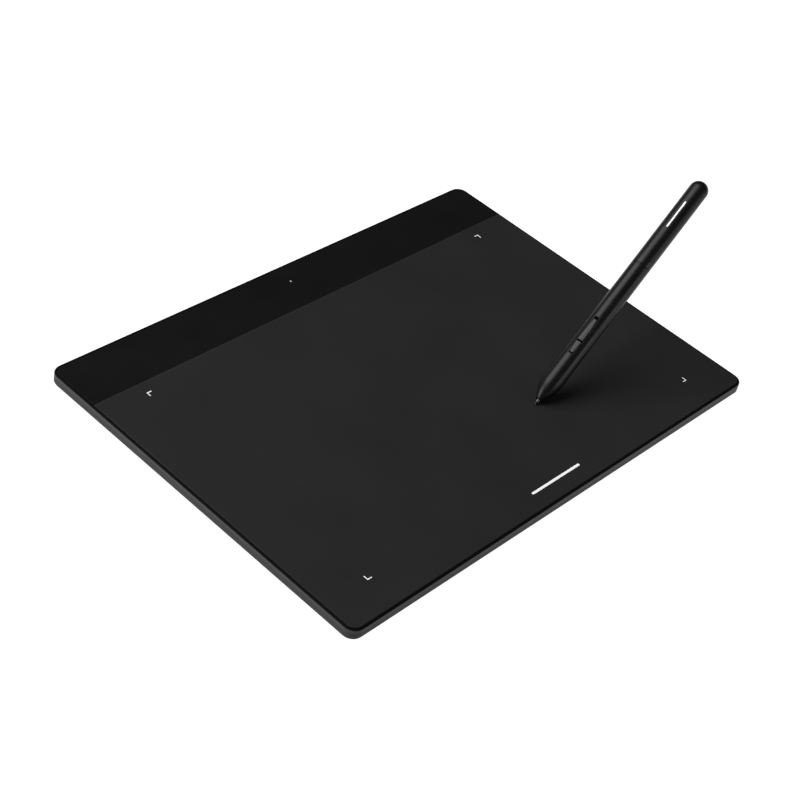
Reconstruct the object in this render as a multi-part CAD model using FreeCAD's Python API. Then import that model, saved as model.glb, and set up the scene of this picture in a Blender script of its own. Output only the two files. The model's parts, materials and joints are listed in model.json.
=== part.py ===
import FreeCAD, Part
import math
import os

# A slim pen tablet lying on a desk, with its pen leaning over the drawing surface, nib down.
# Millimetres. Z = 0 is the desk. The origin is under the middle of the floor area that tablet
# and pen cover together. +X runs along the tablet's long side and +Y points to its back edge.
# The pen is modelled upright in a frame of its own, nib at the origin, +Z to the rear end and
# +X to the side that carries the buttons, and is then laid in place.

# ---- tablet: outer sizes
WIDTH = 312.5
DEPTH = 220.7
CENTRE_X = -5.55
CORNER_R = 6.5
UNDERSIDE_Z = 0.8
RIM_Z = 8.0
EDGE_ROUND = 1.1
LOWER_ROUND = 0.3
UNDER_ROUND = 1.0

# ---- tablet: layers, from the top down
RIM_WIDTH = 1.45
FILM_TOP_Z = 7.95
FILM_LOW_Z = 7.5
DECK_TOP_Z = 7.4
DECK_LOW_Z = 6.0
BOARD_TOP_Z = 5.9
BOARD_LOW_Z = 4.9
SHIELD_TOP_Z = 4.8
SHIELD_LOW_Z = 4.5
RIB_TOP_Z = 4.4
FLOOR_TOP_Z = 2.0
SPLIT_Z = 2.0
WALL = 1.8
LIP_WALL = 1.2
LIP_TOP_Z = 3.3
BOTTOM_INSET = 0.4
SEAM = 0.1

# ---- tablet: layout in plan, from the tablet's centre
ACTIVE_WIDTH = 254.0
ACTIVE_DEPTH = 159.3
ACTIVE_FRONT_Y = -90.35
BOARD_MARGIN = 4.0
HEADER_DEPTH = 33.7
HEADER_GAP = 0.15
LIGHT_BACK = 13.55
LIGHT_R = 0.55
FOOT_X = 138.0
FOOT_Y = 97.0
FOOT_LENGTH = 24.0
FOOT_WIDTH = 8.0
FOOT_RECESS = 0.5
LABEL_SIZE = (70.0, 40.0)
LABEL_Y = -20.0

# ---- case screws
SCREW_R = 1.0
SCREW_HEAD_R = 1.8
SCREW_HEAD_Z = 2.6
SCREW_TIP_Z = 6.6
PAD_TOP_Z = 3.4
BOSS_R = 2.6

# ---- USB-C receptacle
PORT_Z = 4.3
PORT_MOUTH_Y = DEPTH / 2 - 0.3
PORT_LENGTH = 7.3
PORT_OUTER = (8.94, 3.24)
PORT_INNER = (8.34, 2.56)
PORT_CUTOUT = (9.5, 3.8)

# ---- controller board
CONTROL_TOP_Z = 4.7
CONTROL_LOW_Z = 3.9
CONTROL_WIDTH = 120.0
CONTROL_FRONT_Y = 79.0
CONTROL_BACK_Y = 107.4

# ---- pen: place
PEN_TIP = (37.25, -54.2, 8.35)
PEN_LEAN = 34.5
PEN_HEADING = 5.5

# ---- pen: outline
PEN_LENGTH = 156.8
NOSE_Z = 3.3
NOSE_R = 1.8
GRIP_Z = 17.0
GRIP_R = 5.9
WAIST = ((5.76, 28.0), (5.62, 58.0))
SEAM_Z = 96.6
SEAM_HALF_GAP = 0.1
SEAM_R = 5.5
TAIL_R = 5.5
BORE_R = 4.3
NOSE_BORE_R = 1.2
NOSE_BORE_Z = 8.0
CONE_BORE = (2.2, 16.0)
NIB_R = 1.0
NIB_END_Z = 15.0

# ---- pen: side buttons, whose long sides bow outwards in one arc that both share
SLOT_Z = (33.0, 56.5)
POCKET_BACK_Z = 57.9
POCKET_FLOOR_X = 4.6
FRONT_BUTTON = (33.5, 41.05)
REAR_BUTTON = (41.95, 56.1)
KEY_HALF = 1.58
KEY_BOW_R = 125.0
KEY_MIDDLE_Z = 44.2
KEY_GAP = 0.34
KEY_SLOT_LOW_X = 2.5
BUTTON_TOP_R = 5.87
FLANGE_LOW_X = 3.15
FLANGE_TOP_X = 3.5
FLANGE_HALF = 2.1
FLANGE_SPARE = 0.25
SWITCH_Z = (37.3, 49.0)
SWITCH_TOP_X = 2.2
SWITCH_HALF = 1.8
PLUNGER_LOW_X = 1.55
PLUNGER_TOP_X = 2.9
PLUNGER_R = 0.7

# ---- pen: inner parts
PEN_BOARD_TOP_X = 0.8
CHASSIS_OUTER_R = 4.2
CHASSIS_INNER_R = 3.45
CHASSIS_Z = (16.0, 87.0)
SLEEVE_IN = 8.6
SLEEVE_OUT = 9.4
CORE_Z = (12.0, 24.6)
CORE_R = (1.9, 2.7)
COIL_Z = (13.2, 23.6)
COIL_OUTER_R = 3.2
HOLDER_Z = 10.5
HOLDER_FLANGE_Z = (25.0, 25.6)
HOLDER_END_Z = 27.4
PAD_R = (1.4, 2.2)
SENSOR_Z = (28.1, 31.9)
SENSOR_R = 3.4

Vec = FreeCAD.Vector


# ---------------------------------------------------------------- helpers

def box(low, high):
    size = [b - a for a, b in zip(low, high)]
    return Part.makeBox(size[0], size[1], size[2], Vec(*low))


def slab(width, depth, z_low, z_high, radius, centre=(0.0, 0.0)):
    """Upright prism on a rectangle with rounded corners."""
    low = (centre[0] - width / 2, centre[1] - depth / 2, z_low)
    high = (centre[0] + width / 2, centre[1] + depth / 2, z_high)
    block = box(low, high)
    upright = [e for e in block.Edges if e.BoundBox.ZLength > 1e-6]
    return block.makeFillet(radius, upright)


def flat_edges(shape, z):
    """Edges that lie wholly at height z."""
    return [e for e in shape.Edges if e.BoundBox.ZLength < 1e-6 and abs(e.BoundBox.ZMin - z) < 1e-6]


def post(x, y, z_low, z_high, radius):
    return Part.makeCylinder(radius, z_high - z_low, Vec(x, y, z_low))


def stadium_tube(size, y_low, y_high, z):
    """Solid stadium section that runs along Y, centred on x = 0 at height z."""
    width, height = size
    block = box((-width / 2, y_low, z - height / 2), (width / 2, y_high, z + height / 2))
    long_edges = [e for e in block.Edges if e.BoundBox.YLength > 1e-6]
    return block.makeFillet(height / 2 - 0.01, long_edges)


def turned(edges):
    """Solid of revolution about Z from a closed outline in the XZ plane."""
    face = Part.Face(Part.Wire(edges))
    return face.revolve(Vec(0, 0, 0), Vec(0, 0, 1), 360)


def line(start, end):
    """Straight edge in the XZ plane between two (radius, height) points."""
    return Part.makeLine(Vec(start[0], 0, start[1]), Vec(end[0], 0, end[1]))


def arc(start, middle, end):
    points = [Vec(p[0], 0, p[1]) for p in (start, middle, end)]
    return Part.Arc(*points).toShape()


def outline(points):
    """Closed chain of straight edges through (radius, height) points."""
    return [line(a, b) for a, b in zip(points, points[1:] + points[:1])]


def tube(inner, outer, z_low, z_high):
    return post(0, 0, z_low, z_high, outer).cut(post(0, 0, z_low, z_high, inner))


def save(node, solids):
    shape = solids if isinstance(solids, Part.Shape) else Part.makeCompound(solids)
    for solid in shape.Solids:
        if not solid.isValid():
            raise ValueError(node + " is not a valid solid")
    shape.exportStep("parts/" + node + ".step")


def save_tablet(node, solids):
    """Write a tablet piece, moved from the tablet's centre to its place."""
    shape = solids if isinstance(solids, Part.Shape) else Part.makeCompound(solids)
    shape.translate(Vec(CENTRE_X, 0, 0))
    save(node, shape)


def save_pen(node, solids):
    """Write a pen piece, laid from its upright frame to its place over the tablet."""
    shape = solids if isinstance(solids, Part.Shape) else Part.makeCompound(solids)
    shape.rotate(Vec(0, 0, 0), Vec(0, 1, 0), PEN_LEAN - 90)
    shape.rotate(Vec(0, 0, 0), Vec(0, 0, 1), 180 + PEN_HEADING)
    shape.translate(Vec(CENTRE_X + PEN_TIP[0], PEN_TIP[1], PEN_TIP[2]))
    save(node, shape)


# ---------------------------------------------------------------- tablet

def feet_places():
    """Centre of each foot by name, with a case screw above it."""
    places = {}
    for end, y in (("front", -FOOT_Y), ("back", FOOT_Y)):
        for side, x in (("left", -FOOT_X), ("right", FOOT_X)):
            places["foot_" + end + "_" + side] = (x, y)
    return places


LIGHT_Y = DEPTH / 2 - LIGHT_BACK
HEADER_FRONT_Y = DEPTH / 2 - HEADER_DEPTH


def top_cover():
    """Rim and side walls around a deck, which is let in to take the film and the header strip."""
    body = slab(WIDTH, DEPTH, SPLIT_Z, RIM_Z, CORNER_R)
    body = body.makeFillet(EDGE_ROUND, flat_edges(body, RIM_Z))
    body = body.makeFillet(LOWER_ROUND, flat_edges(body, SPLIT_Z))
    inset = 2 * RIM_WIDTH
    body = body.cut(slab(WIDTH - inset, DEPTH - inset, DECK_TOP_Z, RIM_Z + 1, CORNER_R - RIM_WIDTH))
    inset = 2 * WALL
    body = body.cut(slab(WIDTH - inset, DEPTH - inset, SPLIT_Z - 1, DECK_LOW_Z, CORNER_R - WALL))
    for x, y in feet_places().values():
        body = body.fuse(post(x, y, PAD_TOP_Z + SEAM, DECK_LOW_Z + 0.5, BOSS_R))
        body = body.cut(post(x, y, PAD_TOP_Z, SCREW_TIP_Z + 0.2, SCREW_R + 0.02))
    body = body.cut(stadium_tube(PORT_CUTOUT, DEPTH / 2 - WALL - 1, DEPTH / 2 + 1, PORT_Z))
    body = body.cut(post(0, LIGHT_Y, DECK_LOW_Z - 1, DECK_TOP_Z + 1, LIGHT_R + 0.1))
    return body.removeSplitter()


def support_ribs():
    """Ribs on the floor of the bottom cover, which carry the shield sheet and the board."""
    front = ACTIVE_FRONT_Y
    back = ACTIVE_FRONT_Y + ACTIVE_DEPTH
    half = ACTIVE_WIDTH / 2
    ribs = []
    for step in range(5):
        x = -half + ACTIVE_WIDTH * (step + 0.5) / 5
        ribs.append(box((x - 0.6, front, FLOOR_TOP_Z - 0.2), (x + 0.6, back - 8, RIB_TOP_Z)))
    for step in range(3):
        y = front + (back - 8 - front) * (step + 0.5) / 3
        ribs.append(box((-half, y - 0.6, FLOOR_TOP_Z - 0.2), (half, y + 0.6, RIB_TOP_Z)))
    return ribs


def bottom_cover():
    """Shallow pan whose lip goes up inside the top cover's walls."""
    inset = 2 * BOTTOM_INSET
    plate = slab(WIDTH - inset, DEPTH - inset, UNDERSIDE_Z, SPLIT_Z - SEAM, CORNER_R - BOTTOM_INSET)
    plate = plate.makeFillet(UNDER_ROUND, flat_edges(plate, UNDERSIDE_Z))
    inset = 2 * (WALL + SEAM)
    lip_r = CORNER_R - WALL - SEAM
    lip = slab(WIDTH - inset, DEPTH - inset, SPLIT_Z - SEAM - 0.1, LIP_TOP_Z, lip_r)
    body = plate.fuse(lip)
    inset += 2 * LIP_WALL
    pocket = slab(WIDTH - inset, DEPTH - inset, FLOOR_TOP_Z, LIP_TOP_Z + 1, lip_r - LIP_WALL)
    body = body.cut(pocket)
    body = body.multiFuse(support_ribs())
    half_port = PORT_CUTOUT[0] / 2 + 1.5
    body = body.cut(box((-half_port, CONTROL_BACK_Y - 2, FLOOR_TOP_Z), (half_port, DEPTH / 2, 4)))
    for x, y in feet_places().values():
        body = body.fuse(post(x, y, FLOOR_TOP_Z - 0.2, PAD_TOP_Z, SCREW_HEAD_R + 1.4))
        recess = slab(FOOT_LENGTH + 0.2, FOOT_WIDTH + 0.2, 0, UNDERSIDE_Z + FOOT_RECESS, 4.0, (x, y))
        body = body.cut(recess)
        body = body.cut(post(x, y, UNDERSIDE_Z, SCREW_HEAD_Z, SCREW_HEAD_R + 0.2))
        body = body.cut(post(x, y, UNDERSIDE_Z, PAD_TOP_Z + 1, SCREW_R + 0.1))
    label = slab(LABEL_SIZE[0] + 0.4, LABEL_SIZE[1] + 0.4, 0, UNDERSIDE_Z + 0.3, 2.2, (0, LABEL_Y))
    return body.cut(label).removeSplitter()


def surface_sheet(z_low, z_high):
    """Sheet that fills the recess in the deck, with a hair of room at the rim."""
    inset = 2 * (RIM_WIDTH + 0.08)
    return slab(WIDTH - inset, DEPTH - inset, z_low, z_high, CORNER_R - RIM_WIDTH - 0.08)


def across(y_low, y_high):
    return box((-WIDTH, y_low, 0), (WIDTH, y_high, RIM_Z + 1))


def drawing_film():
    sheet = surface_sheet(FILM_LOW_Z, FILM_TOP_Z)
    return sheet.common(across(-DEPTH, HEADER_FRONT_Y - HEADER_GAP / 2))


def header_strip():
    sheet = surface_sheet(FILM_LOW_Z, FILM_TOP_Z)
    strip = sheet.common(across(HEADER_FRONT_Y + HEADER_GAP / 2, DEPTH))
    return strip.cut(post(0, LIGHT_Y, 0, RIM_Z + 1, LIGHT_R + 0.05))


def film_tape():
    return surface_sheet(DECK_TOP_Z, FILM_LOW_Z).cut(post(0, LIGHT_Y, 0, RIM_Z + 1, LIGHT_R + 0.2))


def light_pipe():
    """Clear pin with a flange under the deck; its end shows as the status dot."""
    pin = post(0, LIGHT_Y, 5.5, FILM_TOP_Z, LIGHT_R)
    return pin.fuse(post(0, LIGHT_Y, 5.5, DECK_LOW_Z - 0.05, 2.4 * LIGHT_R)).removeSplitter()


def status_led():
    return box((-0.8, LIGHT_Y - 0.4, CONTROL_TOP_Z), (0.8, LIGHT_Y + 0.4, CONTROL_TOP_Z + 0.7))


def active_plate(z_low, z_high, back_trim=0.0):
    """Plate under the whole active area, with a margin all round."""
    low = (-ACTIVE_WIDTH / 2 - BOARD_MARGIN, ACTIVE_FRONT_Y - BOARD_MARGIN)
    high = (ACTIVE_WIDTH / 2 + BOARD_MARGIN, ACTIVE_FRONT_Y + ACTIVE_DEPTH + BOARD_MARGIN - back_trim)
    centre = ((low[0] + high[0]) / 2, (low[1] + high[1]) / 2)
    return slab(high[0] - low[0], high[1] - low[1], z_low, z_high, 1.5, centre)


def flex_cable():
    """Flat cable from under the sensing board to the connector on the controller board."""
    back = ACTIVE_FRONT_Y + ACTIVE_DEPTH + BOARD_MARGIN
    return box((-9, back - 5, BOARD_LOW_Z - 0.15), (9, CONTROL_FRONT_Y + 2, BOARD_LOW_Z))


def flex_connector():
    y = CONTROL_FRONT_Y + 2
    body = box((-11, y, CONTROL_TOP_Z), (11, y + 4.5, CONTROL_TOP_Z + 1.0))
    latch = box((-10, y + 1.2, CONTROL_TOP_Z + 0.8), (10, y + 2.4, CONTROL_TOP_Z + 1.1))
    return body.fuse(latch).removeSplitter()


def controller_board():
    """Board under the header, notched for the receptacle that sits half sunk in it."""
    depth = CONTROL_BACK_Y - CONTROL_FRONT_Y
    centre = (0, (CONTROL_BACK_Y + CONTROL_FRONT_Y) / 2)
    board = slab(CONTROL_WIDTH, depth, CONTROL_LOW_Z, CONTROL_TOP_Z, 1.0, centre)
    half = PORT_OUTER[0] / 2 + 0.15
    notch = box((-half, PORT_MOUTH_Y - PORT_LENGTH - 0.2, 0), (half, DEPTH, RIM_Z))
    return board.cut(notch)


def controller_chip():
    chip = slab(7, 7, CONTROL_TOP_Z, CONTROL_TOP_Z + 0.9, 0.3, (-24, 93))
    return chip.makeChamfer(0.15, flat_edges(chip, CONTROL_TOP_Z + 0.9))


def support_chips():
    """A row of switching chips, a regulator, a crystal and small passives."""
    solids = []
    for step in range(4):
        x = -52 + 7.5 * step
        solids.append(box((x, 82, CONTROL_TOP_Z), (x + 5, 86, CONTROL_TOP_Z + 0.9)))
    solids.append(box((-40, 96, CONTROL_TOP_Z), (-36.8, 98.5, CONTROL_TOP_Z + 0.8)))
    solids.append(box((-16, 97, CONTROL_TOP_Z), (-13.5, 99, CONTROL_TOP_Z + 0.6)))
    for step in range(6):
        x = -34 + 4.4 * step
        solids.append(box((x, 102, CONTROL_TOP_Z), (x + 1.6, 102.8, CONTROL_TOP_Z + 0.5)))
    return solids


def shield_can():
    """Pressed lid over the analogue front end."""
    outer = slab(24, 17, CONTROL_TOP_Z, CONTROL_TOP_Z + 1.15, 0.6, (32, 93))
    inner = slab(23.6, 16.6, CONTROL_TOP_Z - 1, CONTROL_TOP_Z + 0.95, 0.4, (32, 93))
    return outer.cut(inner)


def port_shell():
    """Drawn steel sleeve of the receptacle, with four feet on the board."""
    back_y = PORT_MOUTH_Y - PORT_LENGTH
    shell = stadium_tube(PORT_OUTER, back_y, PORT_MOUTH_Y, PORT_Z)
    half = PORT_OUTER[0] / 2
    for side in (-1, 1):
        for y in (back_y + 0.6, back_y + 3.6):
            inner, outer = sorted((side * (half - 0.3), side * (half + 1.0)))
            foot = box((inner, y, CONTROL_TOP_Z), (outer, y + 1.2, CONTROL_TOP_Z + 0.3))
            shell = shell.fuse(foot)
    mouth = stadium_tube(PORT_INNER, back_y - 1, PORT_MOUTH_Y + 1, PORT_Z)
    return shell.cut(mouth).removeSplitter()


def port_insulator():
    """Rear block and the tongue that stands in the mouth."""
    back_y = PORT_MOUTH_Y - PORT_LENGTH
    block_size = (PORT_INNER[0] - 0.04, PORT_INNER[1] - 0.04)
    block = stadium_tube(block_size, back_y, back_y + 2.4, PORT_Z)
    tongue = box((-3.34, back_y + 2, PORT_Z - 0.35), (3.34, PORT_MOUTH_Y - 0.7, PORT_Z + 0.35))
    return block.fuse(tongue).removeSplitter()


def port_contacts():
    """Twelve contact strips on each face of the tongue."""
    front_y = PORT_MOUTH_Y - 1.0
    strips = []
    for step in range(12):
        x = (step - 5.5) * 0.5
        for z in (PORT_Z - 0.4, PORT_Z + 0.35):
            strips.append(box((x - 0.12, front_y - 3.2, z), (x + 0.12, front_y, z + 0.05)))
    return strips


def foot(x, y):
    """Rubber pad with rounded ends, standing proud of its recess."""
    pad = slab(FOOT_LENGTH, FOOT_WIDTH, 0, UNDERSIDE_Z + FOOT_RECESS, 3.95, (x, y))
    return pad.makeFillet(0.35, flat_edges(pad, 0))


def case_screw(x, y):
    head = post(x, y, SCREW_HEAD_Z - 1.1, SCREW_HEAD_Z, SCREW_HEAD_R)
    shank = post(x, y, SCREW_HEAD_Z - 0.2, SCREW_TIP_Z, SCREW_R)
    slots = []
    for across_x, across_y in ((0.9, 0.2), (0.2, 0.9)):
        low = (x - across_x, y - across_y, SCREW_HEAD_Z - 1.2)
        high = (x + across_x, y + across_y, SCREW_HEAD_Z - 0.5)
        slots.append(box(low, high))
    return head.fuse(shank).cut(slots[0]).cut(slots[1]).removeSplitter()


def rating_label():
    return slab(LABEL_SIZE[0], LABEL_SIZE[1], UNDERSIDE_Z + 0.1, UNDERSIDE_Z + 0.3, 2.0, (0, LABEL_Y))


def make_tablet():
    save_tablet("top_cover", top_cover())
    save_tablet("bottom_cover", bottom_cover())
    save_tablet("drawing_film", drawing_film())
    save_tablet("header_strip", header_strip())
    save_tablet("film_tape", film_tape())
    save_tablet("light_pipe", light_pipe())
    save_tablet("status_led", status_led())
    save_tablet("sensor_board", active_plate(BOARD_LOW_Z, BOARD_TOP_Z))
    save_tablet("board_tape", active_plate(BOARD_TOP_Z, DECK_LOW_Z))
    save_tablet("shield_sheet", active_plate(SHIELD_LOW_Z, SHIELD_TOP_Z, back_trim=8.0))
    save_tablet("flex_cable", flex_cable())
    save_tablet("flex_connector", flex_connector())
    save_tablet("controller_board", controller_board())
    save_tablet("controller_chip", controller_chip())
    save_tablet("support_chips", support_chips())
    save_tablet("shield_can", shield_can())
    save_tablet("usb_c_shell", port_shell())
    save_tablet("usb_c_insulator", port_insulator())
    save_tablet("usb_c_contacts", port_contacts())
    for node, (x, y) in feet_places().items():
        save_tablet(node, foot(x, y))
    save_tablet("case_screws", [case_screw(x, y) for x, y in feet_places().values()])
    save_tablet("rating_label", rating_label())


# ---------------------------------------------------------------- pen, upright

def ogive_middle():
    """Point halfway along the nose arc, which meets the grip parallel to the axis."""
    rise = GRIP_Z - NOSE_Z
    step = GRIP_R - NOSE_R
    radius = (rise * rise + step * step) / (2 * step)
    half = math.asin(rise / radius) / 2
    return (GRIP_R - radius + radius * math.cos(half), GRIP_Z - radius * math.sin(half))


def key_half(z, gap=0.0):
    """Half width of the buttons at z, or of their slot when gap is their clearance."""
    return KEY_HALF + gap - KEY_BOW_R + math.sqrt(KEY_BOW_R ** 2 - (z - KEY_MIDDLE_Z) ** 2)


def key_prism(span, gap, x_low, x_high):
    """Prism over the length of span whose long sides bow outwards as the buttons do."""
    low_z, high_z = span
    stations = (low_z, (low_z + high_z) / 2, high_z)
    right = [Vec(x_low, key_half(z, gap), z) for z in stations]
    left = [Vec(x_low, -key_half(z, gap), z) for z in reversed(stations)]
    edges = [
        Part.Arc(*right).toShape(),
        Part.makeLine(right[2], left[0]),
        Part.Arc(*left).toShape(),
        Part.makeLine(left[2], right[0]),
    ]
    return Part.Face(Part.Wire(edges)).extrude(Vec(x_high - x_low, 0, 0))


def front_barrel():
    """Nose cone and grip in one turned shell, slotted on one side for the buttons."""
    end_z = SEAM_Z - SEAM_HALF_GAP
    cone_r, cone_z = CONE_BORE
    waist = Part.BSplineCurve()
    stations = [(GRIP_R, GRIP_Z), *WAIST, (SEAM_R, end_z)]
    points = [Vec(r, 0, z) for r, z in stations]
    waist.interpolate(Points=points, InitialTangent=Vec(0, 0, 1), FinalTangent=Vec(0, 0, 1))
    edges = [
        arc((NOSE_R, NOSE_Z), ogive_middle(), (GRIP_R, GRIP_Z)),
        waist.toShape(),
        line((SEAM_R, end_z), (BORE_R, end_z)),
        line((BORE_R, end_z), (BORE_R, cone_z)),
        line((BORE_R, cone_z), (cone_r, NOSE_BORE_Z)),
        line((cone_r, NOSE_BORE_Z), (NOSE_BORE_R, NOSE_BORE_Z)),
        line((NOSE_BORE_R, NOSE_BORE_Z), (NOSE_BORE_R, NOSE_Z)),
        line((NOSE_BORE_R, NOSE_Z), (NOSE_R, NOSE_Z)),
    ]
    outside_x = GRIP_R + 2
    shell = turned(edges).cut(key_prism(SLOT_Z, KEY_GAP, KEY_SLOT_LOW_X, outside_x))
    half = key_half(SLOT_Z[1], KEY_GAP)
    pocket = box((POCKET_FLOOR_X, -half, SLOT_Z[1] - 0.5), (outside_x, half, POCKET_BACK_Z))
    return shell.cut(pocket)


def rear_barrel():
    """Plain tail tube closed by a half-round end."""
    low_z = SEAM_Z + SEAM_HALF_GAP
    dome_z = PEN_LENGTH - TAIL_R
    slant = math.sqrt(0.5)
    outer_middle = (TAIL_R * slant, dome_z + TAIL_R * slant)
    inner_middle = (BORE_R * slant, dome_z + BORE_R * slant)
    edges = [
        line((SEAM_R, low_z), (TAIL_R, dome_z)),
        arc((TAIL_R, dome_z), outer_middle, (0, PEN_LENGTH)),
        line((0, PEN_LENGTH), (0, dome_z + BORE_R)),
        arc((0, dome_z + BORE_R), inner_middle, (BORE_R, dome_z)),
        line((BORE_R, dome_z), (BORE_R, low_z)),
        line((BORE_R, low_z), (SEAM_R, low_z)),
    ]
    return turned(edges)


def coupling_sleeve():
    """Sleeve pushed into both barrels, with a glue groove round it at the seam."""
    sleeve = tube(CHASSIS_INNER_R + 0.05, BORE_R - 0.05, SEAM_Z - SLEEVE_IN, SEAM_Z + SLEEVE_OUT)
    return sleeve.cut(tube(BORE_R - 0.35, BORE_R + 1, SEAM_Z - 0.4, SEAM_Z + 0.4))


def nib():
    """Round point on a short cone and a plain shank."""
    edges = [
        arc((0, 0), (0.37, 0.12), (0.55, 0.45)),
        line((0.55, 0.45), (NIB_R, 1.9)),
        line((NIB_R, 1.9), (NIB_R, NIB_END_Z)),
        line((NIB_R, NIB_END_Z), (0, NIB_END_Z)),
        line((0, NIB_END_Z), (0, 0)),
    ]
    return turned(edges)


def nib_holder():
    """Socket for the nib, a rod through the core, and a flange that the return pad pushes on."""
    socket_z = NIB_END_Z + 0.05
    flange_low, flange_high = HOLDER_FLANGE_Z
    profile = [
        (NIB_R + 0.03, HOLDER_Z), (1.6, HOLDER_Z), (1.6, flange_low), (2.4, flange_low), (2.4, flange_high),
        (1.2, flange_high), (1.2, HOLDER_END_Z), (0, HOLDER_END_Z), (0, socket_z),
        (NIB_R + 0.03, socket_z),
    ]
    return turned(outline(profile))


def return_pad():
    """Silicone bush between the holder's flange and the pressure sensor; it pushes the nib out."""
    return tube(PAD_R[0], PAD_R[1], HOLDER_FLANGE_Z[1], SENSOR_Z[0])


def ferrite_core():
    return tube(CORE_R[0], CORE_R[1], CORE_Z[0], CORE_Z[1])


def coil():
    return tube(CORE_R[1] + 0.02, COIL_OUTER_R, COIL_Z[0], COIL_Z[1])


def pressure_sensor():
    body = post(0, 0, SENSOR_Z[0], SENSOR_Z[1], SENSOR_R)
    return body.makeChamfer(0.3, flat_edges(body, SENSOR_Z[1]))


def chassis():
    """Half shell behind the board, with a bulkhead that the pressure sensor leans on."""
    low, high = CHASSIS_Z
    shell = tube(CHASSIS_INNER_R, CHASSIS_OUTER_R, low, high)
    shell = shell.fuse(post(0, 0, SENSOR_Z[1], SENSOR_Z[1] + 1.0, CHASSIS_INNER_R + 0.2))
    return shell.common(box((-6, -6, low), (0, 6, high))).removeSplitter()


def pen_board():
    low = SENSOR_Z[1] + 1.2
    return box((0, -3.7, low), (PEN_BOARD_TOP_X, 3.7, CHASSIS_Z[1]))


def pen_components():
    """Capacitors, a trimmer and a small chip on the board behind the switches."""
    base = PEN_BOARD_TOP_X
    solids = [box((base, -2.0, 62.0), (base + 1.0, 2.0, 66.0))]
    solids.append(Part.makeCylinder(1.5, 1.2, Vec(base, 0, 71), Vec(1, 0, 0)))
    for step in range(4):
        z = 75.5 + 2.6 * step
        solids.append(box((base, -1.4, z), (base + 0.7, -0.4, z + 1.7)))
        solids.append(box((base, 0.6, z), (base + 0.7, 1.6, z + 1.7)))
    return solids


def switch(z):
    body = box((PEN_BOARD_TOP_X, -1.6, z - SWITCH_HALF), (SWITCH_TOP_X, 1.6, z + SWITCH_HALF))
    well = Part.makeCylinder(PLUNGER_R + 0.06, 3, Vec(1.2, 0, z), Vec(1, 0, 0))
    return body.cut(well)


def plunger(z):
    return Part.makeCylinder(PLUNGER_R, PLUNGER_TOP_X - PLUNGER_LOW_X, Vec(PLUNGER_LOW_X, 0, z), Vec(1, 0, 0))


def button(span, switch_z):
    """Cap that follows the barrel's curve, a flange that keeps it in, and a stem to the switch."""
    low_z, high_z = span
    cap = key_prism(span, 0.0, FLANGE_LOW_X, GRIP_R + 1)
    along = [e for e in cap.Edges if e.BoundBox.XLength > 1]
    cap = cap.makeFillet(0.3, along)
    cap = cap.common(post(0, 0, low_z - 1, high_z + 1, BUTTON_TOP_R))
    flange_low = (FLANGE_LOW_X, -FLANGE_HALF, low_z - FLANGE_SPARE)
    flange = box(flange_low, (FLANGE_TOP_X, FLANGE_HALF, high_z + FLANGE_SPARE))
    stem_length = FLANGE_LOW_X - PLUNGER_TOP_X + 0.1
    stem = Part.makeCylinder(0.9, stem_length, Vec(PLUNGER_TOP_X, 0, switch_z), Vec(1, 0, 0))
    return cap.fuse(flange).fuse(stem).removeSplitter()


def make_pen():
    save_pen("front_barrel", front_barrel())
    save_pen("rear_barrel", rear_barrel())
    save_pen("coupling_sleeve", coupling_sleeve())
    save_pen("nib", nib())
    save_pen("nib_holder", nib_holder())
    save_pen("return_pad", return_pad())
    save_pen("ferrite_core", ferrite_core())
    save_pen("coil", coil())
    save_pen("pressure_sensor", pressure_sensor())
    save_pen("chassis", chassis())
    save_pen("pen_board", pen_board())
    save_pen("pen_components", pen_components())
    for name, z in zip(("front", "rear"), SWITCH_Z):
        save_pen(name + "_switch", switch(z))
        save_pen(name + "_plunger", plunger(z))
    save_pen("front_button", button(FRONT_BUTTON, SWITCH_Z[0]))
    save_pen("rear_button", button(REAR_BUTTON, SWITCH_Z[1]))


os.makedirs("parts", exist_ok=True)
make_tablet()
make_pen()
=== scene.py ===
import json
import math

import bmesh
import bpy
from mathutils import Matrix, Vector


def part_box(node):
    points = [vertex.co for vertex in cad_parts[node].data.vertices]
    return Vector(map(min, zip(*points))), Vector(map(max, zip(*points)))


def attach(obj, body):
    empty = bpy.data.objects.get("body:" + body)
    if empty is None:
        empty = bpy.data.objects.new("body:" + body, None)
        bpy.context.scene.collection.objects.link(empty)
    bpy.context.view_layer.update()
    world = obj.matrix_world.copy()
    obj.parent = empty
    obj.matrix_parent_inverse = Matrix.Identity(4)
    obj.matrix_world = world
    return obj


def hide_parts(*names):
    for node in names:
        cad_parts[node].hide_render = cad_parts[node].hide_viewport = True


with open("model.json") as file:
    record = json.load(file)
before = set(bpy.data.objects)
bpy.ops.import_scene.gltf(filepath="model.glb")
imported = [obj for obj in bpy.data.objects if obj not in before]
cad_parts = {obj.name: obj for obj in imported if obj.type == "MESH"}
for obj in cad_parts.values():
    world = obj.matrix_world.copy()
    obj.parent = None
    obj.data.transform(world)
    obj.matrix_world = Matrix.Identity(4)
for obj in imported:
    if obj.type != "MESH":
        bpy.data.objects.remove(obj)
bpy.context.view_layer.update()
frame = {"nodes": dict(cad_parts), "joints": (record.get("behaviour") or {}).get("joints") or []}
NODES = frame["nodes"]
JOINTS = {joint["name"]: joint for joint in frame["joints"]}
MM = 0.001

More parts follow.
